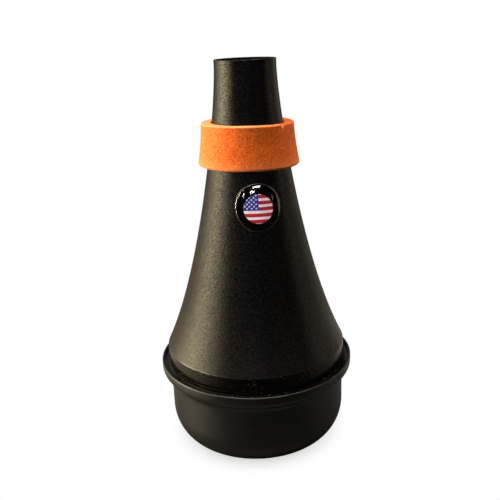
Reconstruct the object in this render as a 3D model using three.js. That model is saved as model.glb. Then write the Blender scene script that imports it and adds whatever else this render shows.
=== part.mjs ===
// Trumpet straight mute, standing on its end cup.
// Millimetres, +Z up the mute's axis, badge facing -Y, origin at the centre of the cup's flat bottom.
import * as THREE from 'three';

// End cup: one spun sheet, drawn in at the bottom corner and joggled out into a wide lip
const cornerRun = 13.1;
const cornerRise = 17;
const cupWallHeight = 15.4;
const joggleRise = 7.8;
const lipLand = 3;
const cupSheet = 1.1;

// Cone: one spun sheet, open at the mouth, flaring down to a crease and a straight skirt
const overallHeight = 193.8;
const mouthRadius = 14.7;
const skirtRadius = 46.1;
const skirtAboveLip = 8;
const coneSheet = 1;
// Where the flare is pulled to near its neck and its foot, as shares of its widening and of its fall
const neckPullShares = [-0.023, 0.099];
const footPullShares = [0.32, 0.694];

// The joint of the two sheets: the skirt stands in the joggle, clear of the lip by a channel
const wallInsideSkirt = 0.6;
const channelWidth = 2.8;
const skirtSeatGap = 0.3;

// Glue line left between bonded pieces
const glueLine = 0.15;

// Sealing bead in the channel between the skirt and the lip
const beadFootWidth = 0.7;
const beadTopBelowLip = 0.4;
const beadEdgeBelowLip = 2.8;
const beadSag = 0.7;

// Bell ring: a foam sleeve glued round the neck, a little thinner where it is stretched wider,
// with its side drawn in at the waist
const neckAboveRing = 28.8;
const ringHeight = 20;
const ringBottomThickness = 4.3;
const ringTopThickness = 4.7;
const ringWaist = 0.35;
const ringBottomRounding = 1;
const ringTopRounding = 0.5;
const ringFilm = 0.25;
const ringFilmInset = 0.8;

// Badge: a printed disc under a clear resin dome, bent onto the cone, with the print a little low in it
const badgeBelowRing = 6;
const printRadius = 6.8;
const printDrop = 0.55;
const badgeBorder = 4.4;
const badgeFilm = 0.25;
const badgeFilmInset = 0.4;
const badgeBacking = 0.4;
const printThickness = 0.12;
const domeInset = 0.15;
const domeCrown = 1.8;
// The dome's shoulder at its edge, where its flat top begins as a share of its radius,
// and how much of the way between them its rim takes
const domeShoulderRise = 1;
const domeFlatShare = 0.65;
const domeRimShare = 0.25;

// Radii and heights that follow
const cupWallRadius = skirtRadius - wallInsideSkirt;
const lipRadius = skirtRadius + channelWidth + cupSheet;
const joggleFoot = cornerRise + cupWallHeight;
const landStart = joggleFoot + joggleRise;
const lipHeight = landStart + lipLand;
const creaseHeight = lipHeight + skirtAboveLip;
const ringTopHeight = overallHeight - neckAboveRing;
const ringBottomHeight = ringTopHeight - ringHeight;
const badgeRadius = printRadius + badgeBorder;
const badgeHeight = ringBottomHeight - badgeBelowRing - badgeRadius;
const domeRadius = badgeRadius - domeInset;
const pocketRadius = printRadius + glueLine;

// How far the badge's layers stand off the cone
const backingLow = badgeFilm + 2 * glueLine;
const printLow = backingLow + badgeBacking + glueLine;
const pocketTop = printLow + printThickness + glueLine;

// Facets
const segmentsAround = 56;
const flareSteps = 13;
const cornerSteps = 6;
const joggleSteps = 6;
const edgeSteps = 3;
const ringSteps = 4;
const roundingSteps = 3;
const sagSteps = 4;
const badgeSegments = 36;
const badgeRings = 4;
const domeRimSteps = 3;
const domeTopSteps = 4;
const badgeStationSteps = 60;

const conePaint = new THREE.MeshStandardMaterial({ color: 0x17160f, roughness: 0.55, metalness: 0.35 });
const cupPaint = new THREE.MeshStandardMaterial({ color: 0x15140f, roughness: 0.45, metalness: 0.3 });
const sealant = new THREE.MeshStandardMaterial({ color: 0x0d0a07, roughness: 0.35, metalness: 0 });
const orangeFoam = new THREE.MeshStandardMaterial({ color: 0xe8702a, roughness: 0.95, metalness: 0 });
const contactGlue = new THREE.MeshStandardMaterial({ color: 0x8a6a3c, roughness: 0.6, metalness: 0 });
const badgeGlue = new THREE.MeshStandardMaterial({ color: 0xd8d4c8, roughness: 0.7, metalness: 0 });
const badgeBlack = new THREE.MeshStandardMaterial({ color: 0x0a0a0a, roughness: 0.3, metalness: 0 });
const badgeInk = new THREE.MeshStandardMaterial({ color: 0xa8343c, roughness: 0.4, metalness: 0 });
const clearResin = new THREE.MeshStandardMaterial({
  color: 0xf4f6f8, roughness: 0.05, metalness: 0, transparent: true, opacity: 0.35,
});

// Outlines are lists of points in the plane of radius and height
const at = (radius, height) => new THREE.Vector2(radius, height);

// An outline moved sideways to its left, with mitred corners
function offsetOutline(outline, distance) {
  const last = outline.length - 1;
  return outline.map((here, index) => {
    const arriving = here.clone().sub(outline[Math.max(index - 1, 0)]).normalize();
    const leaving = outline[Math.min(index + 1, last)].clone().sub(here).normalize();
    const along = arriving.clone().add(leaving).normalize();
    const reach = distance / along.dot(index < last ? leaving : arriving);
    return at(here.x - along.y * reach, here.y + along.x * reach);
  });
}

// The half-round edge of a sheet, from the end of its outer face over to the end of its inner face
function sheetEdge(outer, inner) {
  const middle = outer.clone().add(inner).multiplyScalar(1 / 2);
  const steps = Array.from({ length: edgeSteps }, (_, index) => (index + 1) / (edgeSteps + 1));
  return steps.map((share) => outer.clone().rotateAround(middle, Math.PI * share));
}

// A sheet's whole section: up its outer face, over its edge and back down its inner face
function sheetSection(outer, sheet) {
  const inner = offsetOutline(outer, sheet);
  return [...outer, ...sheetEdge(outer.at(-1), inner.at(-1)), ...inner.reverse()];
}

// Reads an outline that climbs all the way: the radius at a height, and the height at a radius
function readOutline(outline, value, from, to) {
  const found = outline.findIndex((spot) => spot[from] >= value);
  const next = Math.min(Math.max(found, 1), outline.length - 1);
  const low = outline[next - 1];
  const high = outline[next];
  return THREE.MathUtils.mapLinear(value, low[from], high[from], low[to], high[to]);
}
const radiusAt = (outline, height) => readOutline(outline, height, 'y', 'x');
const heightAt = (outline, radius) => readOutline(outline, radius, 'x', 'y');

// A solid of revolution; a section that doesn't start on the axis is closed on itself
function turned(section) {
  const closed = section[0].x > 0 ? [...section, section[0].clone()] : section;
  return new THREE.LatheGeometry(closed, segmentsAround).rotateX(Math.PI / 2);
}

// Outer face of the end cup, from the middle of its bottom up to the lip
function cupOutline() {
  const bottomCorner = new THREE.EllipseCurve(
    cupWallRadius - cornerRun, cornerRise, cornerRun, cornerRise, -Math.PI / 2, 0,
  );
  const joggle = new THREE.CubicBezierCurve(
    at(cupWallRadius, joggleFoot),
    at(cupWallRadius, joggleFoot + joggleRise / 2),
    at(lipRadius, landStart - joggleRise / 2),
    at(lipRadius, landStart),
  );
  return [
    at(0, 0),
    ...bottomCorner.getPoints(cornerSteps),
    ...joggle.getPoints(joggleSteps),
    at(lipRadius, lipHeight - cupSheet / 2),
  ];
}

// The part of the cup's inner face that climbs through the joggle to the lip
function innerJoggle(outline) {
  return offsetOutline(outline, cupSheet).slice(cornerSteps + 2);
}

// The flare's curve, from the crease up to the mouth
function flareCurve() {
  const top = overallHeight - coneSheet / 2;
  const pull = ([widening, fall]) => at(
    THREE.MathUtils.lerp(mouthRadius, skirtRadius, widening),
    THREE.MathUtils.lerp(top, creaseHeight, fall),
  );
  return new THREE.CubicBezierCurve(
    at(skirtRadius, creaseHeight),
    pull(footPullShares),
    pull(neckPullShares),
    at(mouthRadius, top),
  );
}

// Foam sleeve section, following the cone's outer face
function ringSection(flare) {
  const standOff = ringFilm + 2 * glueLine;
  const inner = (height) => radiusAt(flare, height) + standOff;
  const outer = (height) => {
    const share = (height - ringBottomHeight) / ringHeight;
    const thickness = THREE.MathUtils.lerp(ringBottomThickness, ringTopThickness, share);
    return inner(height) + thickness - ringWaist * Math.sin(Math.PI * share);
  };
  const lowStart = ringBottomHeight + ringBottomRounding;
  const highEnd = ringTopHeight - ringTopRounding;
  const rounding = (height, radius, start) => new THREE.EllipseCurve(
    outer(height) - radius, height, radius, radius, start, start + Math.PI / 2,
  ).getPoints(roundingSteps);
  const span = (from, to) => Array.from({ length: ringSteps + 1 }, (_, index) => (
    THREE.MathUtils.lerp(from, to, index / ringSteps)
  ));
  return [
    ...rounding(lowStart, ringBottomRounding, -Math.PI / 2),
    ...span(lowStart, highEnd).slice(1, -1).map((height) => at(outer(height), height)),
    ...rounding(highEnd, ringTopRounding, 0),
    ...span(ringTopHeight, ringBottomHeight).map((height) => at(inner(height), height)),
  ];
}

// Glue film section between the cone and the foam sleeve
function ringFilmSection(flare) {
  const low = ringBottomHeight + ringFilmInset;
  const high = ringTopHeight - ringFilmInset;
  const back = Array.from({ length: ringSteps + 1 }, (_, index) => {
    const height = THREE.MathUtils.lerp(low, high, index / ringSteps);
    return at(radiusAt(flare, height) + glueLine, height);
  });
  return [...back.map((spot) => at(spot.x + ringFilm, spot.y)), ...back.reverse()];
}

// Sealing bead section: up the lip's inner face, across a sagging top and down the skirt
function beadSection(joggle) {
  const skirtSide = skirtRadius + glueLine;
  const footHeight = heightAt(joggle, skirtSide + beadFootWidth + glueLine);
  const beadTopHeight = lipHeight - beadTopBelowLip;
  const beadEdgeHeight = lipHeight - beadEdgeBelowLip;
  const lipSide = (height) => at(radiusAt(joggle, height) - glueLine, height);
  const climb = joggle.filter((spot) => spot.y > footHeight && spot.y < beadEdgeHeight);
  const edge = lipSide(beadEdgeHeight);
  const top = new THREE.QuadraticBezierCurve(
    edge,
    at((edge.x + skirtSide) / 2, (beadEdgeHeight + beadTopHeight) / 2 - 2 * beadSag),
    at(skirtSide, beadTopHeight),
  );
  return [
    at(skirtSide, footHeight),
    lipSide(footHeight),
    ...climb.map((spot) => lipSide(spot.y)),
    ...top.getPoints(sagSteps),
  ];
}

// A disc section about the badge's own middle, with rings enough to bend smoothly
function discSection(radius, low, high) {
  const out = Array.from({ length: badgeRings + 1 }, (_, index) => radius * index / badgeRings);
  return [...out.map((place) => at(place, low)), ...out.reverse().map((place) => at(place, high))];
}

// Clear dome section, hollowed underneath for the print
function domeSection() {
  const crown = printLow + domeCrown;
  const shoulder = at(domeRadius, printLow + domeShoulderRise);
  const flatEdge = at(domeRadius * domeFlatShare, crown);
  const bend = shoulder.clone().lerp(flatEdge, domeRimShare);
  const rim = new THREE.QuadraticBezierCurve(at(domeRadius, printLow), shoulder, bend);
  const top = new THREE.QuadraticBezierCurve(bend, flatEdge, at(0, crown));
  const out = Array.from({ length: badgeRings }, (_, index) => pocketRadius * index / (badgeRings - 1));
  return [
    ...out.map((place) => at(place, pocketTop)),
    at(pocketRadius, printLow),
    at((pocketRadius + domeRadius) / 2, printLow),
    ...rim.getPoints(domeRimSteps).slice(0, -1),
    ...top.getPoints(domeTopSteps),
  ];
}

// How far down the print and the dome's pocket sit from the badge's middle, fading out to the dome's rim
function dropAt(place, proud) {
  const inPrintLayer = proud > printLow - glueLine / 2 && proud < pocketTop + glueLine / 2;
  const share = Math.min((domeRadius - place) / (domeRadius - pocketRadius), 1);
  return inPrintLayer ? printDrop * share : 0;
}

// Turns a badge section about the badge's middle and bends it onto the cone, each layer keeping its width
function bentOntoCone(section, flare) {
  const geometry = new THREE.LatheGeometry(section, badgeSegments);
  const spots = geometry.getAttribute('position');
  const below = at(radiusAt(flare, badgeHeight - badgeRadius), badgeHeight - badgeRadius);
  const above = at(radiusAt(flare, badgeHeight + badgeRadius), badgeHeight + badgeRadius);
  const upSlope = above.sub(below).normalize();
  for (let index = 0; index < spots.count; index += 1) {
    const proud = spots.getY(index);
    const drop = dropAt(Math.hypot(spots.getX(index), spots.getZ(index)), proud);
    const height = badgeHeight - (spots.getZ(index) + drop) * upSlope.y;
    const radius = radiusAt(flare, height) + proud * upSlope.y;
    const turn = spots.getX(index) / radius;
    spots.setXYZ(index, radius * Math.sin(turn), -radius * Math.cos(turn), height - proud * upSlope.x);
  }
  return geometry;
}

const mute = new THREE.Group();
function add(name, geometry, material) {
  const mesh = new THREE.Mesh(geometry, material);
  mesh.name = name;
  mute.add(mesh);
}

const cup = cupOutline();
const joggle = innerJoggle(cup);
const flare = flareCurve().getPoints(flareSteps);
const fineFlare = flareCurve().getPoints(badgeStationSteps);
const skirtFoot = heightAt(joggle, skirtRadius + skirtSeatGap);

add('end_cup', turned(sheetSection(cup, cupSheet)), cupPaint);
const coneSection = sheetSection([at(skirtRadius, skirtFoot), ...flare], coneSheet);
add('cone_body', turned(coneSection), conePaint);
add('cup_sealing_bead', turned(beadSection(joggle)), sealant);
add('ring_glue_film', turned(ringFilmSection(flare)), contactGlue);
add('bell_ring', turned(ringSection(flare)), orangeFoam);

const filmRadius = badgeRadius - badgeFilmInset;
const badgePieces = [
  ['badge_glue_film', discSection(filmRadius, glueLine, glueLine + badgeFilm), badgeGlue],
  ['badge_backing', discSection(badgeRadius, backingLow, backingLow + badgeBacking), badgeBlack],
  ['badge_print', discSection(printRadius, printLow, printLow + printThickness), badgeInk],
  ['badge_dome', domeSection(), clearResin],
];
for (const [name, section, material] of badgePieces) {
  add(name, bentOntoCone(section, fineFlare), material);
}

export default mute;
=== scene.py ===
"""Looks of a trumpet straight mute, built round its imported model. Metres, +Z up, badge facing -Y."""
import math

import bmesh
import bpy
import numpy as np
from mathutils import Matrix, Vector, noise as lumps


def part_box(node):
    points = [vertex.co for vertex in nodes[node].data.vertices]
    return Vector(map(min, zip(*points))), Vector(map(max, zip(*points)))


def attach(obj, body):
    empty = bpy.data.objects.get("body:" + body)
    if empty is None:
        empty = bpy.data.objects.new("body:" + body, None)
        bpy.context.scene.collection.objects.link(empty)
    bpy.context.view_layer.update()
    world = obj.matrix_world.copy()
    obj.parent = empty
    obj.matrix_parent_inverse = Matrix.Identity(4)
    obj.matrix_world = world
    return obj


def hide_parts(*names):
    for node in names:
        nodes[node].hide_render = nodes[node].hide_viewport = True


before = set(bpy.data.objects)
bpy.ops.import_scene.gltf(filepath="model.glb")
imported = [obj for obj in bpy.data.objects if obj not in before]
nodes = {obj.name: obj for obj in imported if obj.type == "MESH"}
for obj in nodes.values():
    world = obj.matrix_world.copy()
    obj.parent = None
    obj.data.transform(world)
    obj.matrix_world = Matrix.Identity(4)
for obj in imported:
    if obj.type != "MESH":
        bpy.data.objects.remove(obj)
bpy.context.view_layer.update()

# Reach of the pieces, from the frame
cone_low, cone_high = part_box("cone_body")
cup_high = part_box("end_cup")[1]
ring_low, ring_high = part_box("bell_ring")

# Cone and cup, the same sheets as in the model
MOUTH_RADIUS = 0.0147
CREASE_HEIGHT = 0.0512
CREASE_ROUNDING = 0.0004
CONE_SHEET = 0.001
NECK_PULL_SHARES = (-0.023, 0.099)
FOOT_PULL_SHARES = (0.32, 0.694)
CUP_WALL_RADIUS = 0.0455
CORNER_RUN = 0.0131
CORNER_RISE = 0.017
JOGGLE_FOOT = 0.0324
JOGGLE_RISE = 0.0078
CUP_SHEET = 0.0011
GLUE_LINE = 0.00015

# Sealing bead, with the uneven top that it set with
BEAD_FOOT_WIDTH = 0.0007
BEAD_TOP_BELOW_LIP = 0.0004
BEAD_EDGE_BELOW_LIP = 0.0028
BEAD_SAG = 0.0007
CHANNEL_START_BELOW_FOOT = 0.001
BEAD_RIPPLE = 0.0003
BEAD_RIPPLE_LUMP = 0.0035
BEAD_RIPPLE_BELOW_EDGE = 0.0006
BEAD_RIPPLE_FADE = 0.001

# Foam ring
RING_STAND_OFF = 0.00055
RING_BOTTOM_THICKNESS = 0.0043
RING_TOP_THICKNESS = 0.0047
RING_WAIST = 0.00035
RING_BOTTOM_ROUNDING = 0.001
RING_TOP_ROUNDING = 0.0005

# Its uneven faces: depths and sizes of the lumps, the layer at the glue that stays even, and the sag
FOAM_RIPPLE = 0.00022
FOAM_RIPPLE_LUMP = 0.012
FOAM_PIT = 0.00012
FOAM_PIT_LUMP = 0.0011
FOAM_STILL = 0.0004
FOAM_FADE = 0.001
FOAM_SAG = 0.00085
FOAM_SAG_POWER = 1.3

# The nick where its ends butt
SEAM_TURN = math.radians(39)
SEAM_WIDTH = 0.0009
SEAM_DEPTH = 0.0015
SEAM_INWARD_SHARE = 0.6

# Badge, bent onto the cone
BADGE_HEIGHT = 0.1278
BADGE_RADIUS = 0.0112
BADGE_BACK = 0.00055
BADGE_BACKING = 0.0004
BADGE_EDGE_ROUNDING = 0.00015
PRINT_RADIUS = 0.0068
PRINT_DROP = 0.00055
PRINT_BACK = 0.0011
PRINT_THICKNESS = 0.00012
DOME_INSET = 0.00015
DOME_CROWN = 0.0018
DOME_SHOULDER_RISE = 0.001
DOME_FLAT_SHARE = 0.65
DOME_RIM_SHARE = 0.12

# Printed flag: its bands, canton and stars, from the middle of the print
BAND = 0.00143
BAND_SPREAD = 0.07
RED_BANDS = (-4, -2, 0, 2, 4)
CANTON_EDGE = 0.00005
STAR_STEP = 0.00105
STAR_ROW = 0.001
STAR_ROWS = 9
STAR_COLUMNS = 11
STAR_POINTS = 5
STAR_RADIUS = 0.00052
STAR_WAIST_SHARE = 0.48
FLAG_TILT = math.radians(-1.0)

# Facets, and the degrees over which a corner stays sharp
AROUND = 192
BEAD_AROUND = 360
RING_AROUND = 420
BADGE_AROUND = 324
PRINT_AROUND = 96
PRINT_RINGS = 14
FLARE_STEPS = 110
FINE_FLARE_STEPS = 4400
NEAR_CREASE_SHARES = (1.6, 3, 6)
SHARP = 30
DISC_SHARP = 40
DOME_SHARP = 50

# Distances that count as none
ON_AXIS = 1e-9
CUT_MARGIN = 1e-8

# Camera, as it stood in the photograph
CAMERA_TURN = math.radians(-8.5)
CAMERA_DISTANCE = 0.3242
CAMERA_HEIGHT = 0.2072
CAMERA_PITCH = math.radians(18.35)
CAMERA_YAW = math.radians(-0.2)
CAMERA_ROLL = math.radians(-2.3)
CAMERA_LENS = 48.2
CAMERA_SENSOR = 36
CAMERA_CLIP = 0.01


# Outlines


def along(start, end, share):
    """The point that lies a share of the way from start to end."""
    return tuple(a + (b - a) * share for a, b in zip(start, end))


def spread(start, end, steps):
    """Evenly spaced values, both ends included."""
    return [float(v) for v in np.linspace(start, end, steps + 1)]


def bezier(a, b, c, d, steps):
    """Points along a cubic curve, both ends included."""
    a, b, c, d = (np.array(p, float) for p in (a, b, c, d))
    t = np.linspace(0, 1, steps + 1)[:, None]
    points = (1 - t) ** 3 * a + 3 * (1 - t) ** 2 * t * b + 3 * (1 - t) * t ** 2 * c + t ** 3 * d
    return [tuple(p) for p in points]


def quadratic(start, pull, end, steps):
    """Points along a curve that one point pulls, both ends included."""
    return bezier(start, along(start, pull, 2 / 3), along(end, pull, 2 / 3), end, steps)


def arc(centre, run, rise, start, end, steps):
    """Points along an elliptical arc, angles in degrees."""
    angles = np.radians(np.linspace(start, end, steps + 1))
    return [(centre[0] + run * math.cos(a), centre[1] + rise * math.sin(a)) for a in angles]


def offset_outline(outline, distance):
    """The outline moved sideways to its left, with mitred corners."""
    points = np.array(outline)
    steps = np.diff(points, axis=0)
    steps /= np.linalg.norm(steps, axis=1)[:, None]
    arriving = np.vstack([steps[:1], steps])
    leaving = np.vstack([steps, steps[-1:]])
    onward = arriving + leaving
    onward /= np.linalg.norm(onward, axis=1)[:, None]
    reach = distance / (onward * leaving).sum(axis=1)
    left = np.stack([-onward[:, 1], onward[:, 0]], axis=1)
    return [tuple(p) for p in points + left * reach[:, None]]


def sheet_edge(outer, inner, steps=8):
    """The half-round edge between the two faces of a sheet."""
    outer, inner = np.array(outer), np.array(inner)
    middle = (outer + inner) / 2
    spoke = outer - middle
    square = np.array([-spoke[1], spoke[0]])
    angles = np.linspace(0, math.pi, steps + 1)[1:-1]
    return [tuple(middle + spoke * math.cos(a) + square * math.sin(a)) for a in angles]


def sheet_section(outer, sheet):
    """A sheet's closed section from its outer face."""
    inner = offset_outline(outer, sheet)
    return outer + sheet_edge(outer[-1], inner[-1]) + inner[::-1]


def flare_outline(steps):
    """The cone's outer face from the crease up to the mouth."""
    top = cone_high[2] - CONE_SHEET / 2
    skirt = cone_high[0]

    def pull(widening, fall):
        return (MOUTH_RADIUS + (skirt - MOUTH_RADIUS) * widening, top + (CREASE_HEIGHT - top) * fall)

    return bezier(
        (skirt, CREASE_HEIGHT), pull(*FOOT_PULL_SHARES), pull(*NECK_PULL_SHARES), (MOUTH_RADIUS, top), steps
    )


FLARE = np.array(flare_outline(FLARE_STEPS))
FINE_FLARE = np.array(flare_outline(FINE_FLARE_STEPS))


def flare_radius(height):
    """The radius of the flare's outer face at a height."""
    return float(np.interp(height, FINE_FLARE[:, 1], FINE_FLARE[:, 0]))


def flare_point(distance):
    """The point of the flare at a distance up from the crease."""
    lengths = np.concatenate([[0], np.cumsum(np.linalg.norm(np.diff(FINE_FLARE, axis=0), axis=1))])
    return tuple(float(np.interp(distance, lengths, FINE_FLARE[:, axis])) for axis in (0, 1))


def cone_outline():
    """Skirt, rounded crease and flare, with rows close together near the crease."""
    skirt = cone_high[0]
    below = [(skirt, CREASE_HEIGHT - CREASE_ROUNDING * share) for share in NEAR_CREASE_SHARES[::-1]]
    above = [flare_point(CREASE_ROUNDING * share) for share in NEAR_CREASE_SHARES[:2]]
    corner = (skirt, CREASE_HEIGHT)
    start = (skirt, CREASE_HEIGHT - CREASE_ROUNDING)
    bend = bezier(start, corner, corner, flare_point(CREASE_ROUNDING), steps=4)
    return [(skirt, cone_low[2])] + below + bend + above + [tuple(p) for p in FLARE[2:]]


def cup_outline():
    """Flat bottom, rounded corner, wall, joggle and lip."""
    flat = CUP_WALL_RADIUS - CORNER_RUN
    lip = cup_high[0]
    lip_top = cup_high[2] - CUP_SHEET / 2
    land = JOGGLE_FOOT + JOGGLE_RISE
    middle = JOGGLE_FOOT + JOGGLE_RISE / 2
    bottom = [(place, 0) for place in spread(0, flat, steps=4)[:-1]]
    corner = arc((flat, CORNER_RISE), CORNER_RUN, CORNER_RISE, -90, 0, steps=24)
    wall = [(CUP_WALL_RADIUS, height) for height in spread(CORNER_RISE, JOGGLE_FOOT, steps=6)[1:-1]]
    joggle = bezier(
        (CUP_WALL_RADIUS, JOGGLE_FOOT), (CUP_WALL_RADIUS, middle), (lip, middle), (lip, land), steps=20
    )
    return bottom + corner + wall + joggle + [(lip, (land + lip_top) / 2), (lip, lip_top)]


def ring_section():
    """The foam ring: a rounded outer face drawn in at its waist, and an inner face along the cone."""
    low, high = ring_low[2], ring_high[2]

    def inner(height):
        return flare_radius(height) + RING_STAND_OFF

    def outer(height):
        share = (height - low) / (high - low)
        straight = RING_BOTTOM_THICKNESS + (RING_TOP_THICKNESS - RING_BOTTOM_THICKNESS) * share
        return inner(height) + straight - RING_WAIST * math.sin(math.pi * share)

    start = low + RING_BOTTOM_ROUNDING
    end = high - RING_TOP_ROUNDING
    bottom_centre = (outer(start) - RING_BOTTOM_ROUNDING, start)
    top_centre = (outer(end) - RING_TOP_ROUNDING, end)
    foot = arc(bottom_centre, RING_BOTTOM_ROUNDING, RING_BOTTOM_ROUNDING, -90, 0, steps=8)
    side = [(outer(height), height) for height in spread(start, end, steps=40)[1:-1]]
    shoulder = arc(top_centre, RING_TOP_ROUNDING, RING_TOP_ROUNDING, 0, 90, steps=5)
    top = [(place, high) for place in spread(top_centre[0], inner(high), steps=8)[1:-1]]
    back = [(inner(height), height) for height in spread(high, low, steps=20)]
    under = [(place, low) for place in spread(inner(low), bottom_centre[0], steps=5)[1:-1]]
    return foot + side + shoulder + top + back + under


def bead_section():
    """The bead's foot in the joggle, its face against the lip and its sagging top."""
    inside = np.array(offset_outline(cup_outline(), CUP_SHEET))
    joggle = inside[inside[:, 1] >= JOGGLE_FOOT - CHANNEL_START_BELOW_FOOT]
    skirt_side = cone_high[0] + GLUE_LINE

    def lip_side(height):
        return (float(np.interp(height, joggle[:, 1], joggle[:, 0])) - GLUE_LINE, height)

    foot = float(np.interp(skirt_side + BEAD_FOOT_WIDTH + GLUE_LINE, joggle[:, 0], joggle[:, 1]))
    edge_height = cup_high[2] - BEAD_EDGE_BELOW_LIP
    top_height = cup_high[2] - BEAD_TOP_BELOW_LIP
    edge = lip_side(edge_height)
    pull = ((edge[0] + skirt_side) / 2, (edge_height + top_height) / 2 - 2 * BEAD_SAG)
    climb = [lip_side(height) for height in spread(foot, edge_height, steps=10)]
    top = quadratic(edge, pull, (skirt_side, top_height), steps=14)
    wall = [(skirt_side, height) for height in spread(top_height, foot, steps=10)[1:]]
    return climb + top[1:] + wall


def disc_section(radius, low, high, rounding):
    """A thin disc with a rounded rim."""
    flat = radius - rounding
    rise = min(rounding, (high - low) / 2)
    bottom = [(place, low) for place in spread(0, flat, steps=8)[:-1]]
    under = arc((flat, low + rise), rounding, rise, -90, 0, steps=3)
    over = arc((flat, high - rise), rounding, rise, 0, 90, steps=3)
    top = [(place, high) for place in spread(flat, 0, steps=8)[1:]]
    return bottom + under + over + top


def dome_section():
    """Clear resin cast over the print and bonded to the backing, which its underside sinks into."""
    radius = BADGE_RADIUS - DOME_INSET
    low = BADGE_BACK + BADGE_BACKING / 2
    crown = PRINT_BACK + DOME_CROWN
    shoulder = (radius, PRINT_BACK + DOME_SHOULDER_RISE)
    flat_edge = (radius * DOME_FLAT_SHARE, crown)
    bend = along(shoulder, flat_edge, DOME_RIM_SHARE)
    bottom = [(place, low) for place in spread(0, radius, steps=12)[:-1]]
    rim = quadratic((radius, low), shoulder, bend, steps=40)
    face = quadratic(bend, flat_edge, (0, crown), steps=60)
    return bottom + rim + face[1:]


# Meshes


def finished(name, work, sharp=SHARP):
    """Turns a bmesh into a smooth object whose corners over the given angle stay sharp."""
    bmesh.ops.recalc_face_normals(work, faces=work.faces)
    limit = math.radians(sharp)
    for face in work.faces:
        face.smooth = True
    for edge in work.edges:
        edge.smooth = edge.calc_face_angle(math.pi) < limit
    mesh = bpy.data.meshes.new(name)
    work.to_mesh(mesh)
    work.free()
    piece = bpy.data.objects.new(name, mesh)
    bpy.context.scene.collection.objects.link(piece)
    return piece


def upright(radius, angle, height):
    """A turned point; an angle of 0 faces -Y."""
    return (radius * math.sin(angle), -radius * math.cos(angle), height)


def turned(section, sides, place):
    """A closed bmesh turned from a section of (radius, height) points."""
    work = bmesh.new()
    angles = [2 * math.pi * k / sides for k in range(sides)]
    rings = []
    for radius, height in section:
        if radius < ON_AXIS:
            rings.append([work.verts.new(place(0, 0, height))] * sides)
        else:
            rings.append([work.verts.new(place(radius, angle, height)) for angle in angles])
    for low, high in zip(rings, rings[1:] + rings[:1]):
        for k in range(sides):
            corners = list(dict.fromkeys([low[k], low[k - 1], high[k - 1], high[k]]))
            if len(corners) > 2:
                work.faces.new(corners)
    return work


def lathe(name, section, sides=AROUND, sharp=SHARP, place=upright):
    """A piece turned from a section."""
    return finished(name, turned(section, sides, place), sharp)


def badge_slope():
    """The flare's direction up through the badge: its run outward and its rise."""
    run = flare_radius(BADGE_HEIGHT + BADGE_RADIUS) - flare_radius(BADGE_HEIGHT - BADGE_RADIUS)
    return Vector((run, 2 * BADGE_RADIUS)).normalized()


SLOPE = badge_slope()


def bent(across, up, proud):
    """A point of the badge, from its middle, laid on the cone; each layer keeps its width."""
    height = BADGE_HEIGHT + up * SLOPE.y
    radius = flare_radius(height) + proud * SLOPE.y
    turn = across / radius
    return (radius * math.sin(turn), -radius * math.cos(turn), height - proud * SLOPE.x)


def bent_turned(radius, angle, proud):
    """A turned point of the badge, laid on the cone."""
    return bent(radius * math.sin(angle), radius * math.cos(angle), proud)


def bent_print(radius, angle, proud):
    """The same for the print, which sits below the badge's middle."""
    return bent(radius * math.sin(angle), radius * math.cos(angle) - PRINT_DROP, proud)


def rippled(piece, move):
    """Moves each point of a piece by what move says for it."""
    for point in piece.data.vertices:
        point.co += move(point.co)
    piece.data.update()


def swell(spot, size, octaves):
    """A smooth unevenness of about 0 to 1 with lumps of a size."""
    return 0.5 + 0.5 * lumps.fractal(spot / size, 1.0, 2.0, octaves)


def flat_disc():
    """The print's disc, flat and in small faces."""
    work = bmesh.new()
    angles = [2 * math.pi * k / PRINT_AROUND for k in range(PRINT_AROUND)]
    circles = [[work.verts.new((0, 0, 0))] * PRINT_AROUND]
    for ring in range(1, PRINT_RINGS + 1):
        reach = PRINT_RADIUS * ring / PRINT_RINGS
        circles.append([work.verts.new((reach * math.sin(a), reach * math.cos(a), 0)) for a in angles])
    for inner, outer in zip(circles, circles[1:]):
        for k in range(PRINT_AROUND):
            work.faces.new(list(dict.fromkeys([inner[k], inner[k - 1], outer[k - 1], outer[k]])))
    return work


def cut_away(work, place, normal):
    """Removes what lies on the normal's side of a line."""
    bmesh.ops.bisect_plane(
        work, geom=work.verts[:] + work.edges[:] + work.faces[:],
        dist=CUT_MARGIN, plane_co=place, plane_no=normal, clear_outer=True,
    )


def tilted(work, low, high):
    """A flat layer made solid from low to high, turned to the flag's tilt and laid on the cone."""
    faces = work.faces[:]
    for point in work.verts:
        point.co.z = low
    grown = bmesh.ops.extrude_face_region(work, geom=faces, use_keep_orig=True)["geom"]
    for point in (part for part in grown if isinstance(part, bmesh.types.BMVert)):
        point.co.z = high
    turn = Matrix.Rotation(FLAG_TILT, 3, "Z")
    for point in work.verts:
        place = turn @ point.co
        point.co = bent(place.x, place.y - PRINT_DROP, place.z)
    return work


def joined(parts):
    """The parts in one bmesh, unchanged."""
    whole = bmesh.new()
    for part in parts:
        mesh = bpy.data.meshes.new("layer")
        part.to_mesh(mesh)
        whole.from_mesh(mesh)
        part.free()
        bpy.data.meshes.remove(mesh)
    return whole


def band(low, high, left, bottom, top):
    """One band of the print between two heights, right of a line where left is given."""
    work = flat_disc()
    cut_away(work, (0, high, 0), (0, 1, 0))
    cut_away(work, (0, low, 0), (0, -1, 0))
    if left is not None:
        cut_away(work, (left, 0, 0), (-1, 0, 0))
    return tilted(work, bottom, top)


def red_bands(bottom, top):
    """Each second band; those above the middle start at the canton's edge."""
    reach = 0.5 + BAND_SPREAD
    return [
        band(BAND * (k - reach), BAND * (k + reach), CANTON_EDGE if k >= 0 else None, bottom, top)
        for k in RED_BANDS
    ]


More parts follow.
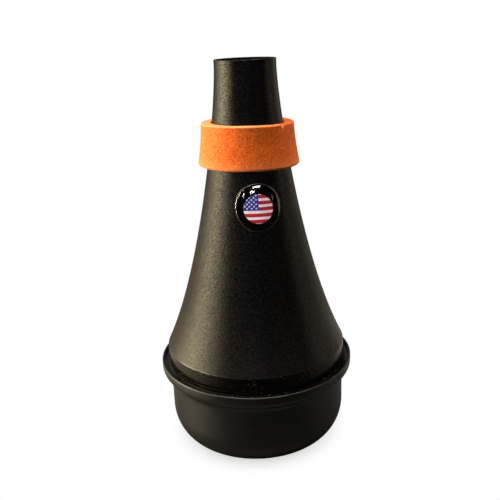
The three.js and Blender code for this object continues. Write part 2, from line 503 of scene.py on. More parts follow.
def canton(bottom, top):
    """The blue field: the print left of the canton's edge and above the middle band's foot."""
    work = flat_disc()
    cut_away(work, (CANTON_EDGE, 0, 0), (1, 0, 0))
    cut_away(work, (0, -BAND / 2, 0), (0, -1, 0))
    return tilted(work, bottom, top)


def star(across, up, bottom, top):
    """A star, kept inside the print's rim."""
    work = bmesh.new()
    corners = 2 * STAR_POINTS
    points = []
    for k in range(corners):
        reach = STAR_RADIUS * (STAR_WAIST_SHARE if k % 2 else 1)
        angle = k * math.pi / STAR_POINTS
        spot = Vector((across + reach * math.sin(angle), up + reach * math.cos(angle), 0))
        spot *= min(1, PRINT_RADIUS / spot.length)
        points.append(work.verts.new(spot))
    middle = work.verts.new(sum((point.co for point in points), Vector()) / corners)
    for k in range(corners):
        work.faces.new([middle, points[k], points[k - 1]])
    return tilted(work, bottom, top)


def stars(bottom, top):
    """The stars in their staggered rows, as far as they lie on the print."""
    made = []
    for row in range(1, STAR_ROWS + 1):
        for column in range(1, STAR_COLUMNS + 1):
            across, up = CANTON_EDGE - column * STAR_STEP, -BAND / 2 + row * STAR_ROW
            if (row + column) % 2 == 0 and math.hypot(across, up) < PRINT_RADIUS:
                made.append(star(across, up, bottom, top))
    return made


# Shader nodes


def new_material(name):
    """A material, its node tree and its shader."""
    material = bpy.data.materials.new(name)
    material.use_nodes = True
    tree = material.node_tree
    return material, tree, tree.nodes["Principled BSDF"]


def feed(tree, value, socket):
    """Sets an input to a value, or links it to a socket."""
    if isinstance(value, bpy.types.NodeSocket):
        tree.links.new(value, socket)
    else:
        socket.default_value = value


def node(tree, kind, **inputs):
    """A shader node with its named inputs set to values or linked to sockets."""
    made = tree.nodes.new(kind)
    for key, value in inputs.items():
        feed(tree, value, made.inputs[key.replace("_", " ")])
    return made


def set_even(shader, **values):
    """Sets the inputs that are the same all over a surface."""
    for key, value in values.items():
        shader.inputs[key.replace("_", " ")].default_value = value


def cover(tree, shader, colour, roughness, normal):
    """Feeds what varies over a surface."""
    feed(tree, colour, shader.inputs["Base Color"])
    feed(tree, roughness, shader.inputs["Roughness"])
    feed(tree, normal, shader.inputs["Normal"])


def spots(tree):
    """The place of each spot of a surface, in metres."""
    return tree.nodes.new("ShaderNodeTexCoord").outputs["Object"]


def axis_of(tree, axis):
    """A spot's place along X, Y or Z."""
    return node(tree, "ShaderNodeSeparateXYZ", Vector=spots(tree)).outputs[axis]


def grain(tree, size, detail=3.0, roughness=0.55):
    """Noise whose lumps are about the given size across."""
    noise = {"Scale": 1 / size, "Detail": detail, "Roughness": roughness}
    return node(tree, "ShaderNodeTexNoise", Vector=spots(tree), **noise).outputs["Fac"]


def ramp(tree, value, stops):
    """Colours that run from stop to stop as a value grows."""
    made = node(tree, "ShaderNodeValToRGB", Fac=value)
    while len(made.color_ramp.elements) < len(stops):
        made.color_ramp.elements.new(1.0)
    for element, (place, colour) in zip(made.color_ramp.elements, stops):
        element.position = place
        element.color = (*colour, 1)
    return made.outputs["Color"]


# Most of a soft noise lies between these
SOFT_REACH = (0.3, 0.7)


def tones(tree, value, pair, reach=SOFT_REACH):
    """A dark and a pale colour, mixed by a noise."""
    return ramp(tree, value, list(zip(reach, pair)))


def greys(shares):
    """Grey stops of a ramp, from places and brightnesses."""
    return [(stop, (share,) * 3) for stop, share in shares]


def remap(tree, value, start, end, low, high):
    """A value from start to end spread over low to high."""
    reach = {"From_Min": start, "From_Max": end, "To_Min": low, "To_Max": high}
    return node(tree, "ShaderNodeMapRange", Value=value, **reach).outputs["Result"]


def maths(tree, operation, first, second=0.0):
    """A number worked out from one or two others."""
    made = tree.nodes.new("ShaderNodeMath")
    made.operation = operation
    feed(tree, first, made.inputs[0])
    feed(tree, second, made.inputs[1])
    return made.outputs[0]


def times(tree, first, second):
    """One number times another."""
    return maths(tree, "MULTIPLY", first, second)


def inverse(tree, share):
    """What a share leaves of 1."""
    return maths(tree, "SUBTRACT", 1.0, share)


def vector_maths(tree, operation, first, second=None):
    """The same for vectors; a length is a number."""
    made = tree.nodes.new("ShaderNodeVectorMath")
    made.operation = operation
    feed(tree, first, made.inputs[0])
    if second is not None:
        feed(tree, second, made.inputs[1])
    return made.outputs["Value" if operation == "LENGTH" else "Vector"]


def blended(tree, share, first, second):
    """Two colours mixed by a share."""
    made = tree.nodes.new("ShaderNodeMix")
    made.data_type = "RGBA"
    feed(tree, share, made.inputs["Factor"])
    feed(tree, first, made.inputs[6])
    feed(tree, second, made.inputs[7])
    return made.outputs[2]


def bump(tree, height, depth, strength=0.3, under=None):
    """A normal that a height has roughened."""
    made = node(tree, "ShaderNodeBump", Height=height, Distance=depth, Strength=strength)
    if under is not None:
        tree.links.new(under, made.inputs["Normal"])
    return made.outputs["Normal"]


def cells(tree, spacing):
    """Small cells of the surface: the distance from each one's middle and its own random share."""
    made = node(tree, "ShaderNodeTexVoronoi", Vector=spots(tree), Scale=1 / spacing)
    share = node(tree, "ShaderNodeSeparateColor", Color=made.outputs["Color"]).outputs["Red"]
    return made.outputs["Distance"], share


def level_line(tree, height, core, reach):
    """1 within core of a height, falling to 0 at reach."""
    off = maths(tree, "ABSOLUTE", maths(tree, "SUBTRACT", axis_of(tree, "Z"), height))
    return remap(tree, off, core, reach, 1, 0)


# Dust: spacing, size and rarity of its specks
FINE_DUST = (0.0006, 0.00011, 0.72)
COARSE_DUST = (0.0012, 0.00015, 0.86)
CUP_DUST = (0.004, 0.0002, 0.93)
CLUMP_SIZE = 0.009
CLUMP_REACH = (0.48, 0.56)


def specks(tree, spacing, size, rarity):
    """1 on small scattered specks of dust and 0 elsewhere."""
    distance, pick = cells(tree, spacing)
    near = maths(tree, "LESS_THAN", distance, size / spacing)
    return times(tree, near, maths(tree, "GREATER_THAN", pick, rarity))


def clumped_dust(tree):
    """Specks of dust, and finer ones that lie together here and there."""
    clump = remap(tree, grain(tree, CLUMP_SIZE, detail=2), *CLUMP_REACH, 0, 1)
    fine = times(tree, specks(tree, *FINE_DUST), clump)
    return maths(tree, "MAXIMUM", specks(tree, *COARSE_DUST), fine)


# Materials


def dress(piece, material):
    """Gives a piece one material and no other."""
    piece.data.materials.clear()
    piece.data.materials.append(material)


# The cone's coating on its flare: dark to pale, with flecks of metal; a painted highlight makes it paler
# and glossier low on the flare
COAT_GRAIN = 0.00045
COAT_REACH = (0.35, 0.65)
COAT_TONES = ((0.001, 0.001, 0.0013), (0.0035, 0.0032, 0.003))
COAT_ROUGH_REACH = (0.36, 0.64)
COAT_ROUGHNESS = (0.27, 0.45)
COAT_BUMP = 0.00012
COAT_BUMP_STRENGTH = 0.5
FLECK_SIZE = 0.00034
LOWER_HIGHLIGHT_HEIGHTS = (0.056, 0.085)
LOWER_HIGHLIGHT_TONE = (0.007, 0.0066, 0.0064, 1)
LOWER_HIGHLIGHT_FLECK_SHARE = 0.75
NECK_HEIGHTS = (0.148, 0.175)
NECK_ROUGH_SHARE = 0.8

# Its skirt, below the crease
CREASE_BLEND = 0.0004
SKIRT_PATCH = 0.006
SKIRT_TONES = ((0.0016, 0.001, 0.0008), (0.004, 0.0026, 0.002))
SKIRT_DUST_TONE = (0.4, 0.35, 0.28, 1)
SKIRT_ROUGH_SHARE = 0.65
SKIRT_BUMP_SHARE = 0.25

# Painted highlights, most on the left where the lamps fall: how much they show, in shares from the cone's
# left to its right, in patches, and the lines that they show on
LIT_SIDE_REACH = 0.05
LIT_SIDE_SHARES = ((0.06, 0.2), (0.11, 1), (0.2, 0.8), (0.3, 0.15))
LIT_SIDE_PATCH = 0.0008
LIT_SIDE_PATCH_REACH = (0.42, 0.62)
LIT_SIDE_LEAST_SHARE = 0.15
# Painted highlight along the crease: a pale line, partly metal
CREASE_HIGHLIGHT_HEIGHT = CREASE_HEIGHT + 0.0001
CREASE_HIGHLIGHT_REACH = (0.0001, 0.0004)
CREASE_HIGHLIGHT_TONE = (0.13, 0.125, 0.11, 1)
CREASE_HIGHLIGHT_METAL = 0.5
# Painted highlight along the skirt, low down near the cup's lip
SKIRT_HIGHLIGHT_HEIGHT = 0.0438
SKIRT_HIGHLIGHT_REACH = (0.00005, 0.00018)
SKIRT_HIGHLIGHT_TONE = (0.16, 0.15, 0.13, 1)


def lit_side_share(tree):
    """How strongly the painted highlights show, most on the cone's left where the lamps fall, in patches.
    """
    side = remap(tree, axis_of(tree, "X"), -LIT_SIDE_REACH, LIT_SIDE_REACH, 0, 1)
    patch = grain(tree, LIT_SIDE_PATCH, detail=2)
    return times(
        tree, ramp(tree, side, greys(LIT_SIDE_SHARES)),
        remap(tree, patch, *LIT_SIDE_PATCH_REACH, LIT_SIDE_LEAST_SHARE, 1),
    )


def cone_coating():
    """Fine black coating with a khaki gloss, smoother and browner on the skirt, with painted highlights:
    paler low on the flare, and two pale lines on its left.
    """
    material, tree, shader = new_material("cone_coating")
    height = axis_of(tree, "Z")
    fine = grain(tree, COAT_GRAIN, detail=2, roughness=0.5)
    pick = cells(tree, FLECK_SIZE)[1]
    on_flare = remap(tree, height, CREASE_HEIGHT - CREASE_BLEND, CREASE_HEIGHT + CREASE_BLEND, 0, 1)
    # Painted highlight: paler and glossier low on the flare, just above the crease
    lower_highlight = remap(tree, height, *LOWER_HIGHLIGHT_HEIGHTS, 1, 0)
    lit_side = lit_side_share(tree)
    # Painted highlights: the pale lines along the crease and the skirt, most on the left
    pale_line = times(tree, lit_side, level_line(tree, CREASE_HIGHLIGHT_HEIGHT, *CREASE_HIGHLIGHT_REACH))
    skirt_highlight = times(tree, lit_side, level_line(tree, SKIRT_HIGHLIGHT_HEIGHT, *SKIRT_HIGHLIGHT_REACH))

    coat = tones(tree, fine, COAT_TONES, COAT_REACH)
    coat = blended(tree, times(tree, lower_highlight, inverse(tree, pick)), coat, LOWER_HIGHLIGHT_TONE)
    skirt = tones(tree, grain(tree, SKIRT_PATCH, detail=2), SKIRT_TONES)
    colour = blended(tree, on_flare, skirt, coat)
    dust = times(tree, clumped_dust(tree), inverse(tree, on_flare))
    colour = blended(tree, dust, colour, SKIRT_DUST_TONE)
    colour = blended(tree, pale_line, colour, CREASE_HIGHLIGHT_TONE)
    colour = blended(tree, skirt_highlight, colour, SKIRT_HIGHLIGHT_TONE)

    rough = remap(tree, fine, *COAT_ROUGH_REACH, *COAT_ROUGHNESS)
    rough = times(tree, rough, remap(tree, on_flare, 0, 1, SKIRT_ROUGH_SHARE, 1))
    rough = times(tree, rough, remap(tree, height, *NECK_HEIGHTS, 1, NECK_ROUGH_SHARE))
    fleck = times(tree, pick, remap(tree, lower_highlight, 0, 1, 1, LOWER_HIGHLIGHT_FLECK_SHARE))
    feed(tree, remap(tree, pale_line, 0, 1, fleck, CREASE_HIGHLIGHT_METAL), shader.inputs["Metallic"])
    depth = times(tree, fine, remap(tree, on_flare, 0, 1, SKIRT_BUMP_SHARE, 1))
    cover(tree, shader, colour, rough, bump(tree, depth, COAT_BUMP, COAT_BUMP_STRENGTH))
    set_even(shader, Specular_IOR_Level=0.36, Specular_Tint=(1.0, 0.95, 0.8, 1))
    return material


# The cup's paint, its lip worn in patches, and the turning lines per metre
PAINT_GRAIN = 0.0004
PAINT_BUMP = 0.00002
PAINT_PATCH = 0.012
PAINT_TONES = ((0.0022, 0.0025, 0.0018), (0.0045, 0.004, 0.003))
PAINT_ROUGHNESS = (0.33, 0.39)
PAINT_DUST_TONE = (0.2, 0.17, 0.12, 1)
LIP_WORN_BELOW = (0.0005, 0.0002)
LIP_PATCH = 0.007
LIP_PATCH_REACH = (0.44, 0.58)
LIP_TONE = (0.02, 0.02, 0.019, 1)
TURNING_LINES = 2500
TURNING_BUMP = 0.00001


def cup_paint():
    """Smooth satin black with faint turning lines, a little dust and a lip worn in patches."""
    material, tree, shader = new_material("cup_paint")
    broad = grain(tree, PAINT_PATCH, detail=3)
    colour = tones(tree, broad, PAINT_TONES)
    colour = blended(tree, specks(tree, *CUP_DUST), colour, PAINT_DUST_TONE)
    lip = remap(tree, axis_of(tree, "Z"), *(cup_high[2] - below for below in LIP_WORN_BELOW), 0, 1)
    patch = remap(tree, grain(tree, LIP_PATCH, detail=2), *LIP_PATCH_REACH, 0, 1)
    colour = blended(tree, times(tree, lip, patch), colour, LIP_TONE)
    level = vector_maths(tree, "MULTIPLY", spots(tree), (0, 0, 1))
    lines = node(tree, "ShaderNodeTexNoise", Vector=level, Scale=TURNING_LINES, Detail=2.0)
    turning = bump(tree, lines.outputs["Fac"], TURNING_BUMP)
    normal = bump(tree, grain(tree, PAINT_GRAIN, detail=2), PAINT_BUMP, under=turning)
    cover(tree, shader, colour, remap(tree, broad, *SOFT_REACH, *PAINT_ROUGHNESS), normal)
    return material


# The sealant, and how far from the middle a painted reflection turns its left and right sides grey
GLUE_GRAIN = 0.0018
GLUE_BUMP = 0.0002
GLUE_TONES = ((0.002, 0.0017, 0.0014), (0.008, 0.007, 0.005))
GLUE_ROUGHNESS = (0.3, 0.5)
GLUE_REFLECTION_REACH = (0.0425, 0.0455)
GLUE_REFLECTION_TONE = (0.035, 0.034, 0.031, 1)
GLUE_DUST_TONE = (0.4, 0.37, 0.32, 1)


def sealing_glue():
    """Black sealant, with a painted reflection that makes it greyer at its left and right sides, and dust
    on it.
    """
    material, tree, shader = new_material("sealing_glue")
    soft = grain(tree, GLUE_GRAIN, detail=4)
    # Painted reflection: greyer towards the left and right sides
    sides = remap(tree, maths(tree, "ABSOLUTE", axis_of(tree, "X")), *GLUE_REFLECTION_REACH, 0, 1)
    colour = blended(tree, sides, tones(tree, soft, GLUE_TONES), GLUE_REFLECTION_TONE)
    colour = blended(tree, clumped_dust(tree), colour, GLUE_DUST_TONE)
    rough = remap(tree, soft, *SOFT_REACH, *GLUE_ROUGHNESS)
    cover(tree, shader, colour, rough, bump(tree, soft, GLUE_BUMP))
    set_even(shader, Specular_IOR_Level=0.05)
    return material


# The foam's mottle: sizes, and how much each counts
FOAM_BLOTCH = 0.003
FOAM_BLOTCH_SHARE = 0.14
FOAM_GRAIN = 0.0004
FOAM_GRAIN_SHARE = 0.58
FOAM_CELL = 0.0003
FOAM_CELL_SHARE = 0.28
FOAM_TONES = ((0.4, (0.46, 0.056, 0.006)), (0.5, (0.7, 0.12, 0.012)), (0.6, (0.86, 0.2, 0.026)))
FOAM_ROUGHNESS = (0.75, 0.95)
FOAM_BUMP = 0.00025
FOAM_BUMP_STRENGTH = 0.7

# Its painted highlights: paler top and bottom edges, and a pale mark at its nick
FOAM_TOP_HIGHLIGHT = (0.0007, 0.0002)
FOAM_TOP_HIGHLIGHT_SHARE = 0.6
FOAM_LOW_HIGHLIGHT = (0.0048, 0.0003)
FOAM_LOW_HIGHLIGHT_SHARE = 0.3
FOAM_HIGHLIGHT_TONE = (0.8, 0.35, 0.16, 1)
SEAM_HIGHLIGHT_WIDTHS = (0.0004, SEAM_WIDTH)
SEAM_HIGHLIGHT_BELOW = (0.0025, 0.0016)
SEAM_HIGHLIGHT_SHARE = 0.75
SEAM_HIGHLIGHT_TONE = (0.9, 0.5, 0.28, 1)


def seam_highlight(tree):
    """How far the painted highlight at the nick shows: by the way across from the seam, and near the top.
    """
    along_x = times(tree, axis_of(tree, "X"), math.cos(SEAM_TURN))
    along_y = times(tree, axis_of(tree, "Y"), math.sin(SEAM_TURN))
    across = maths(tree, "ABSOLUTE", maths(tree, "ADD", along_x, along_y))
    highlight = remap(tree, across, *SEAM_HIGHLIGHT_WIDTHS, SEAM_HIGHLIGHT_SHARE, 0)
    highlight = times(tree, highlight, maths(tree, "GREATER_THAN", axis_of(tree, "X")))
    heights = (ring_high[2] - below for below in SEAM_HIGHLIGHT_BELOW)
    return times(tree, highlight, remap(tree, axis_of(tree, "Z"), *heights, 0, 1))


def orange_foam():
    """Closed-cell foam: blotches, fine cells and a slight sheen, with painted highlights on its top and
    bottom edges and at its nick.
    """
    material, tree, shader = new_material("orange_foam")
    fine = grain(tree, FOAM_GRAIN, detail=2, roughness=0.6)
    blotches = times(tree, grain(tree, FOAM_BLOTCH, detail=3), FOAM_BLOTCH_SHARE)
    mottle = maths(tree, "ADD", blotches, times(tree, fine, FOAM_GRAIN_SHARE))
    mottle = maths(tree, "ADD", mottle, times(tree, cells(tree, FOAM_CELL)[1], FOAM_CELL_SHARE))
    height = axis_of(tree, "Z")
    # Painted highlights: paler near the top and the bottom edges
    top_highlight = remap(tree, height, *(ring_high[2] - below for below in FOAM_TOP_HIGHLIGHT), 0, FOAM_TOP_HIGHLIGHT_SHARE)
    low_highlight = remap(tree, height, *(ring_low[2] + above for above in FOAM_LOW_HIGHLIGHT), 0, FOAM_LOW_HIGHLIGHT_SHARE)
    edges = maths(tree, "ADD", top_highlight, low_highlight)
    colour = blended(tree, edges, ramp(tree, mottle, FOAM_TONES), FOAM_HIGHLIGHT_TONE)
    # Painted highlight at the nick
    colour = blended(tree, seam_highlight(tree), colour, SEAM_HIGHLIGHT_TONE)
    rough = remap(tree, fine, *SOFT_REACH, *FOAM_ROUGHNESS)
    cover(tree, shader, colour, rough, bump(tree, fine, FOAM_BUMP, FOAM_BUMP_STRENGTH))
    set_even(shader, Specular_IOR_Level=0.15)
    set_even(shader, Sheen_Weight=0.12, Sheen_Roughness=0.5, Sheen_Tint=(1.0, 0.75, 0.5, 1))
    return material


# Slight cloudiness of the near-plain finishes
CLOUD_SIZE = 0.0015
CLOUD_SHARE = 0.18
CLOUD_ROUGH_SHARES = (0.8, 1.2)
CLOUD_BUMP = 0.00001


def varied(name, colour, roughness, shine=0.5, cloud_share=CLOUD_SHARE):
    """A near-plain finish with slight cloudiness in its colour, roughness and surface."""
    material, tree, shader = new_material(name)
    soft = grain(tree, CLOUD_SIZE, detail=2)
    dark = tuple(c * (1 - cloud_share) for c in colour)
    pale = tuple(min(1, c * (1 + cloud_share)) for c in colour)
    rough = remap(tree, soft, *SOFT_REACH, *(roughness * share for share in CLOUD_ROUGH_SHARES))
    cover(tree, shader, tones(tree, soft, (dark, pale)), rough, bump(tree, soft, CLOUD_BUMP))
    set_even(shader, Specular_IOR_Level=shine)
    return material


# The badge's lacquer, and the width of its pale edge
LACQUER_TONES = ((0.001, 0.0008, 0.0008), (0.0014, 0.001, 0.001))
LACQUER_ROUGHNESS = (0.5, 0.7)
LACQUER_EDGE_WIDTH = 0.00013
LACQUER_EDGE_TONE = (0.2, 0.2, 0.2, 1)


def badge_black():
    """Matt black lacquer, pale at the very edge."""
    material, tree, shader = new_material("badge_black")
    soft = grain(tree, CLOUD_SIZE, detail=2)
    from_middle = vector_maths(tree, "SUBTRACT", spots(tree), (0, 0, BADGE_HEIGHT))
    flat = vector_maths(tree, "MULTIPLY", from_middle, (1, 0, 1 / SLOPE.y))
    edge = BADGE_RADIUS - DOME_INSET
    pale_line = remap(tree, vector_maths(tree, "LENGTH", flat), edge - LACQUER_EDGE_WIDTH, edge, 0, 1)
    colour = blended(tree, pale_line, tones(tree, soft, LACQUER_TONES), LACQUER_EDGE_TONE)
    rough = remap(tree, soft, *SOFT_REACH, *LACQUER_ROUGHNESS)
    cover(tree, shader, colour, rough, bump(tree, soft, CLOUD_BUMP))
    set_even(shader, Specular_IOR_Level=0.0)
    return material


# The dome's resin: the size of its slight unevenness, and its roughness
RESIN_CLOUD = 0.003
RESIN_ROUGHNESS = (0.06, 0.075)


def clear_resin():
    """Clear domed resin under a gloss coat, which lets lamps through to the print."""
    material, tree, shader = new_material("clear_resin")
    set_even(shader, Base_Color=(1.0, 0.98, 1.0, 1), Transmission_Weight=1, IOR=1.5)
    set_even(shader, Coat_Weight=1, Coat_IOR=1.53, Coat_Roughness=0.06)
    rough = remap(tree, grain(tree, RESIN_CLOUD, detail=2), *SOFT_REACH, *RESIN_ROUGHNESS)
    feed(tree, rough, shader.inputs["Roughness"])
    through = node(tree, "ShaderNodeBsdfTransparent", Color=(1.0, 0.97, 1.0, 1))
    surface = by_ray(tree, "Is Shadow Ray", through.outputs[0], shader.outputs[0])
    tree.links.new(surface, tree.nodes["Material Output"].inputs["Surface"])
    return material


def by_ray(tree, kind, seen, unseen):
    """One shader for rays of a kind and another for the rest."""
    path = tree.nodes.new("ShaderNodeLightPath")
    mix = tree.nodes.new("ShaderNodeMixShader")
    tree.links.new(path.outputs[kind], mix.inputs["Fac"])
    tree.links.new(unseen, mix.inputs[1])
    tree.links.new(seen, mix.inputs[2])
    return mix.outputs["Shader"]


# Pieces

# A face of the cone is on its outside when its normal points outward at least this much
LEAST_OUTWARD = 0.5


def settle(piece, material, stands_for):
    """Dresses a piece, hangs it on the root body and hides the node that it stands for."""
    dress(piece, material)
    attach(piece, "root")
    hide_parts(stands_for)


def build_cone():
    """The cone, with a matt inside."""
    cone = lathe("cone_shell", sheet_section(cone_outline(), CONE_SHEET))
    settle(cone, cone_coating(), "cone_body")
    cone.data.materials.append(varied("cone_inside", (0.002, 0.002, 0.002), roughness=0.8, shine=0.1))
    for face in cone.data.polygons:
        outward = Vector((face.center.x, face.center.y, 0)).normalized()
        faces_in = face.normal.dot(outward) < LEAST_OUTWARD
        above_foot = face.center.z > cone_low[2] + CONE_SHEET
        face.material_index = int(faces_in and above_foot)


def build_cup():
    """The cup, one sheet in one paint."""
    cup = lathe("cup_shell", sheet_section(cup_outline(), CUP_SHEET))
    settle(cup, cup_paint(), "end_cup")


def build_bead():
    """The sealing bead, its top sunk unevenly."""
    bead = lathe("sealing_bead", bead_section(), BEAD_AROUND)
    start = cup_high[2] - BEAD_EDGE_BELOW_LIP - BEAD_RIPPLE_BELOW_EDGE

    def sink(spot):
        share = min(1, max(0, (spot.z - start) / BEAD_RIPPLE_FADE))
        return Vector((0, 0, -BEAD_RIPPLE * share * swell(spot, BEAD_RIPPLE_LUMP, octaves=3)))

    rippled(bead, sink)
    settle(bead, sealing_glue(), "cup_sealing_bead")


def build_ring():
    """The foam ring with its uneven faces and the nick at its butt seam."""
    ring = lathe("foam_ring", ring_section(), RING_AROUND)

    def settle_foam(spot):
        outward = Vector((spot.x, spot.y, 0)).normalized()
        radius = math.hypot(spot.x, spot.y)
        inner = flare_radius(spot.z) + RING_STAND_OFF
        outside = min(1, max(0, (radius - inner - FOAM_STILL) / FOAM_FADE))
        ripple = FOAM_RIPPLE * swell(spot, FOAM_RIPPLE_LUMP, octaves=2)
        pit = FOAM_PIT * max(0, lumps.noise(spot / FOAM_PIT_LUMP))
        move = -outward * outside * (ripple + pit)
        turn = math.atan2(spot.x, -spot.y)
        sag = FOAM_SAG * max(0, math.sin(turn - CAMERA_TURN)) ** FOAM_SAG_POWER
        move += Vector((0, 0, -sag)) + outward * (flare_radius(spot.z - sag) - flare_radius(spot.z))
        across = (turn - SEAM_TURN) * radius
        depth = max(0, 1 - abs(across) / SEAM_WIDTH)
        top_share = max(0, 1 - (ring_high[2] - spot.z) / (2 * SEAM_DEPTH))
        if depth and top_share:
            pull = -outward * outside * SEAM_INWARD_SHARE + Vector((0, 0, -1))
            move += pull * SEAM_DEPTH * depth * top_share * outside
        return move

    rippled(ring, settle_foam)
    settle(ring, orange_foam(), "bell_ring")


def settle_ink(piece, name, colour, cloud_share=CLOUD_SHARE):
    """A layer of the print, in its own ink."""
    ink = varied(name, colour, roughness=0.5, shine=0.1, cloud_share=cloud_share)
    settle(piece, ink, "badge_print")


def build_backing():
    """The black disc that carries the print and the dome."""
    section = disc_section(BADGE_RADIUS, BADGE_BACK, BADGE_BACK + BADGE_BACKING, BADGE_EDGE_ROUNDING)
    disc = lathe("badge_disc", section, BADGE_AROUND, DISC_SHARP, bent_turned)
    settle(disc, badge_black(), "badge_backing")


def build_print():
    """The white ground, the bands and the canton on it, and the stars in front."""
    front = PRINT_BACK + PRINT_THICKNESS
    layer = PRINT_THICKNESS / 4
    low, high = front - 2 * layer, front - layer
    ground = disc_section(PRINT_RADIUS, PRINT_BACK, low, layer / 2)
    white = lathe("print_ground", ground, PRINT_AROUND, DISC_SHARP, bent_print)
    settle_ink(white, "ink_white", (1, 0.88, 1), cloud_share=0.06)
    red = finished("print_bands", joined(red_bands(low, high)))
    settle_ink(red, "ink_red", (0.4, 0.027, 0.04))
    blue = finished("print_canton", canton(low, high))
    settle_ink(blue, "ink_blue", (0.028, 0.035, 0.31))
    pale = finished("print_stars", joined(stars(high, front)))
    settle_ink(pale, "ink_star", (0.78, 0.86, 1), cloud_share=0.06)


def build_dome():
    """The clear dome over the print."""
    dome = lathe("badge_dome_clear", dome_section(), BADGE_AROUND, DOME_SHARP, bent_turned)
    settle(dome, clear_resin(), "badge_dome")


# Studio

# A little light from all round
AMBIENT = 0.005

# The floor, which darkens to the camera where it is near the mute
FLOOR_SIZE = 6
FLOOR_DROP = 0.0002
FLOOR_ROUGHNESS = 0.35
CONTACT_REACH = 0.03
CONTACT_TONES = ((0.0, (0.62, 0.61, 0.6)), (0.6, (1, 1, 1)))

# Painted light and shade on the floor, as the mute sees it: how much light it sends back, from its left to
# its right, most on the left where the lamps fall
BOUNCE_REACH = 0.2
PAINTED_FLOOR_LIGHT = (
    (0.1, (0.28, 0.235, 0.21)),
    (0.3, (0.068, 0.06, 0.057)),
    (0.37, (0.095, 0.09, 0.084)),
    (0.43, (0.072, 0.072, 0.066)),
    (0.6, (0.078, 0.08, 0.076)),
    (0.72, (0.12, 0.12, 0.12)),
    (0.9, (0.22, 0.22, 0.22)),
)

# What that is multiplied by, from the floor's front to its back
FLOOR_DEPTH = (
    (0.18, 0.1), (0.3, 0.85), (0.42, 0.8), (0.5, 1.0), (0.6, 1.9), (0.7, 4.4), (0.85, 1.7), (0.95, 0.8),
)

# Softboxes: name, turn, distance, height, aim height, width, tall, radiance, colour
LIGHTS = (
    ("key_core", -86, 0.9, 0.25, 0.17, 0.4, 0.5, 7.6, (1.0, 0.89, 0.57)),
    ("key_low", -95, 0.9, 0.16, 0.17, 0.42, 0.2, 2.2, (1.0, 0.89, 0.6)),
    ("key_mid", -84, 0.9, 0.3, 0.17, 0.8, 0.66, 2.7, (1.0, 0.89, 0.7)),
    ("key_wide", -95, 0.9, 0.4, 0.15, 1.0, 0.86, 2.9, (1.0, 0.88, 0.62)),
    ("key_broad", -105, 0.9, 0.3, 0.15, 1.6, 0.7, 0.55, (1.0, 0.9, 0.72)),
    ("left_front", -63, 0.9, 0.4, 0.2, 0.3, 0.86, 2.9, (1.0, 0.86, 0.78)),
    ("overhead", 0, 0.05, 1.4, 0.1, 1.0, 1.0, 6.5, (1.0, 0.97, 0.96)),
    ("right", 90, 0.9, 0.4, 0.15, 0.4, 0.8, 0.85, (1.0, 0.87, 0.74)),
    ("right_back", 130, 0.9, 0.4, 0.15, 0.6, 0.8, 0.52, (1.0, 0.92, 0.8)),
    ("back", 180, 1.2, 0.72, 0.05, 1.6, 0.5, 0.5, (1.0, 1.0, 1.0)),
)

# Lamps whose light only the cone, the cup and the bead take, given the same way
SHELL_LIGHTS = (
    ("front_low", -8, 2.0, 0.13, 0.18, 2.0, 0.3, 0.9, (0.68, 0.7, 1.0)),
    ("front_high", -6, 0.9, 0.58, 0.06, 0.5, 0.16, 1.7, (0.78, 0.84, 1.0)),
    ("front_right", 42, 0.9, 0.4, 0.15, 0.5, 0.7, 0.2, (1.0, 0.9, 0.9)),
)

# Lamps whose light only the foam ring takes
FOAM_LIGHTS = (
    ("foam_right", 60, 0.45, 1.25, 0.15, 0.6, 0.6, 6.9, (1.0, 0.68, 0.22)),
    ("foam_left", -112, 0.9, 0.4, 0.2, 0.6, 0.8, 7.5, (1.0, 0.92, 0.75)),
)

# Far lamps that only the badge's dome takes: name, turn, lift, degrees wide, degrees tall, radiance
PANELS = (
    ("ceiling_1", 15, 25.5, 23.5, 3.2, 18),
    ("ceiling_2", 1, 18.5, 11.5, 2.8, 18),
    ("ceiling_3", -32.6, 25.3, 7, 2.8, 20),
    ("ceiling_4", -25.3, 15.9, 4, 2.8, 16),
    ("far_right", 60, 9, 6, 3, 1),
)
PANEL_DISTANCE = 1.2
PANEL_AIM_HEIGHT = 0.13


def around(turn, distance, height):
    """A place round the mute; a turn of 0 is towards the camera and a negative one is to its left."""
    angle = CAMERA_TURN + math.radians(turn)
    return Vector((distance * math.sin(angle), -distance * math.cos(angle), height))


def softbox(name, place, aim_height, width, height, radiance, colour=(1, 1, 1)):
    """A soft rectangular light of an even brightness, aimed at a height of the mute's axis."""
    light = bpy.data.lights.new(name, "AREA")
    light.shape = "RECTANGLE"
    light.size = width
    light.size_y = height
    light.energy = radiance * math.pi * width * height
    light.color = colour
    lamp = bpy.data.objects.new(name, light)
    bpy.context.scene.collection.objects.link(lamp)
    lamp.location = place
    lamp.rotation_euler = (Vector((0, 0, aim_height)) - place).to_track_quat("-Z", "Y").to_euler()
    return lamp


def panel(name, turn, lift, wide, tall, radiance):
    """A small bright panel in a direction from the badge, sized in degrees."""
    flat = PANEL_DISTANCE * math.cos(math.radians(lift))
    rise = PANEL_DISTANCE * math.sin(math.radians(lift))
    width, height = (2 * PANEL_DISTANCE * math.tan(math.radians(angle / 2)) for angle in (wide, tall))
    place = around(turn, flat, PANEL_AIM_HEIGHT + rise)
    return softbox(name, place, PANEL_AIM_HEIGHT, width, height, radiance)


def only(*pieces):
    """A collection of the pieces that a lamp lights."""
    chosen = bpy.data.collections.new("only_" + pieces[0])
    for piece in pieces:
        chosen.objects.link(bpy.data.objects[piece])
    return chosen


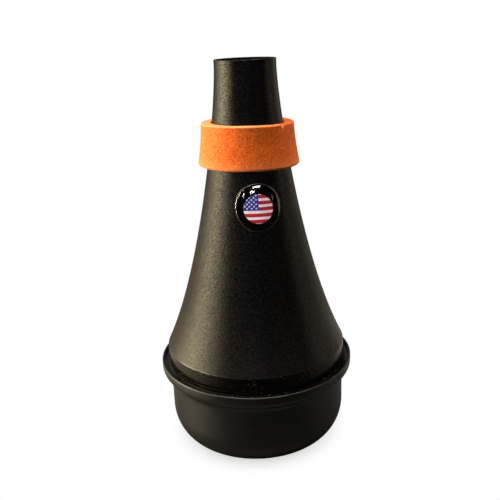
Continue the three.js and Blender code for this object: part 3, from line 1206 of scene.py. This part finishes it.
def build_lights():
    """Softboxes round the mute, and far lamps that only the dome is glossy enough to mirror."""
    shell = only("cone_shell", "cup_shell", "sealing_bead")
    for rows, lit in ((LIGHTS, None), (SHELL_LIGHTS, shell), (FOAM_LIGHTS, only("foam_ring"))):
        for name, turn, distance, height, aim_height, wide, tall, radiance, colour in rows:
            place = around(turn, distance, height)
            lamp = softbox(name, place, aim_height, wide, tall, radiance, colour)
            lamp.light_linking.receiver_collection = lit
    glossy = only("badge_dome_clear")
    for row in PANELS:
        panel(*row).light_linking.receiver_collection = glossy


def build_world():
    """White to the camera, and nearly dark to the mute."""
    world = bpy.data.worlds.new("studio")
    bpy.context.scene.world = world
    world.use_nodes = True
    tree = world.node_tree
    tree.nodes.clear()
    white = node(tree, "ShaderNodeBackground", Color=(1, 1, 1, 1), Strength=1.0)
    dim = node(tree, "ShaderNodeBackground", Color=(1, 1, 1, 1), Strength=AMBIENT)
    out = tree.nodes.new("ShaderNodeOutputWorld")
    tree.links.new(by_ray(tree, "Is Camera Ray", white.outputs[0], dim.outputs[0]), out.inputs["Surface"])


def pale_floor():
    """Pale with a soft contact shadow to the camera; the mute takes a weaker light back from it, with
    painted light and shade that vary by place.
    """
    material = bpy.data.materials.new("pale_floor")
    material.use_nodes = True
    tree = material.node_tree
    tree.nodes.clear()
    shade = node(tree, "ShaderNodeAmbientOcclusion", Distance=CONTACT_REACH)
    tone = ramp(tree, shade.outputs["AO"], CONTACT_TONES)
    pale = node(tree, "ShaderNodeEmission", Color=tone, Strength=1.0)
    across = remap(tree, axis_of(tree, "X"), -BOUNCE_REACH, BOUNCE_REACH, 0, 1)
    back = remap(tree, axis_of(tree, "Y"), -BOUNCE_REACH, BOUNCE_REACH, 0, 1)
    depth = ramp(tree, back, greys(FLOOR_DEPTH))
    # Painted light and shade: the floor's colour to the mute, paler or darker by place
    painted_floor_light = vector_maths(tree, "MULTIPLY", ramp(tree, across, PAINTED_FLOOR_LIGHT), depth)
    dark = node(tree, "ShaderNodeBsdfPrincipled", Base_Color=painted_floor_light, Roughness=FLOOR_ROUGHNESS)
    out = tree.nodes.new("ShaderNodeOutputMaterial")
    tree.links.new(by_ray(tree, "Is Camera Ray", pale.outputs[0], dark.outputs[0]), out.inputs["Surface"])
    return material


def build_floor():
    """The floor, which is there for the picture only."""
    work = bmesh.new()
    bmesh.ops.create_grid(work, x_segments=2, y_segments=2, size=FLOOR_SIZE)
    mesh = bpy.data.meshes.new("floor")
    work.to_mesh(mesh)
    work.free()
    floor = bpy.data.objects.new("floor", mesh)
    bpy.context.scene.collection.objects.link(floor)
    floor.location.z = -FLOOR_DROP
    dress(floor, pale_floor())


def build_camera():
    """The camera, as it stood in the photograph."""
    data = bpy.data.cameras.new("camera")
    data.lens = CAMERA_LENS
    data.sensor_width = CAMERA_SENSOR
    data.clip_start = CAMERA_CLIP
    viewer = bpy.data.objects.new("camera", data)
    bpy.context.scene.collection.objects.link(viewer)
    turn = Matrix.Rotation(CAMERA_TURN - CAMERA_YAW, 4, "Z")
    tilt = Matrix.Rotation(math.pi / 2 - CAMERA_PITCH, 4, "X")
    roll = Matrix.Rotation(CAMERA_ROLL, 4, "Z")
    place = Matrix.Translation(around(0, CAMERA_DISTANCE, CAMERA_HEIGHT))
    viewer.matrix_world = place @ turn @ tilt @ roll
    bpy.context.scene.camera = viewer


build_camera()
build_cone()
build_cup()
build_bead()
build_ring()
build_backing()
build_print()
build_dome()
dress(nodes["ring_glue_film"], varied("ring_glue", (0.01, 0.008, 0.006), roughness=0.6))
dress(nodes["badge_glue_film"], varied("badge_glue", (0.02, 0.02, 0.02), roughness=0.6))
build_world()
build_floor()
build_lights()
bpy.context.scene.view_settings.view_transform = "Standard"
